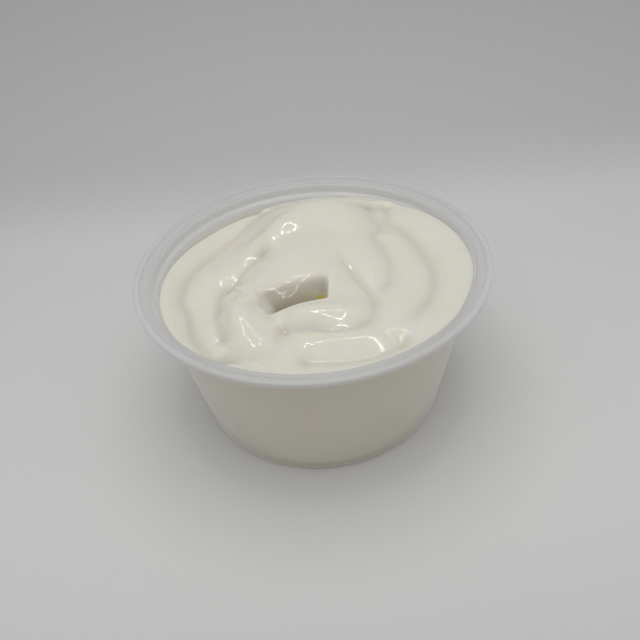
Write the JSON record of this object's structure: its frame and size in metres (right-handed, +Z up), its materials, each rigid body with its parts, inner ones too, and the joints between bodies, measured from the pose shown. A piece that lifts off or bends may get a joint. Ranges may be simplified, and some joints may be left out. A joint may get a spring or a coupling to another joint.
{
  "type": "sour cream tub",
  "caption": "Small round tapered plastic portion cup with a flanged rim, open and filled with thick white sour cream whose top is spooned into a swirl.",
  "frame": {"origin": "the middle of the base, on the plane that the tub stands on", "axes": "+Z up along the cup's axis, -Y towards the front, where the hollow in the cream has its steep wall"},
  "size_m": [0.073, 0.073, 0.0361],
  "materials": {
    "clear plastic": "thin translucent moulded plastic, softly glossy, milky where light passes through it",
    "sour cream": "thick warm white cream with a wet gloss and small sharp highlights"
  },
  "bodies": {
    "root": {"cup": "clear plastic", "cream": "sour cream"}
  },
  "joints": []
}
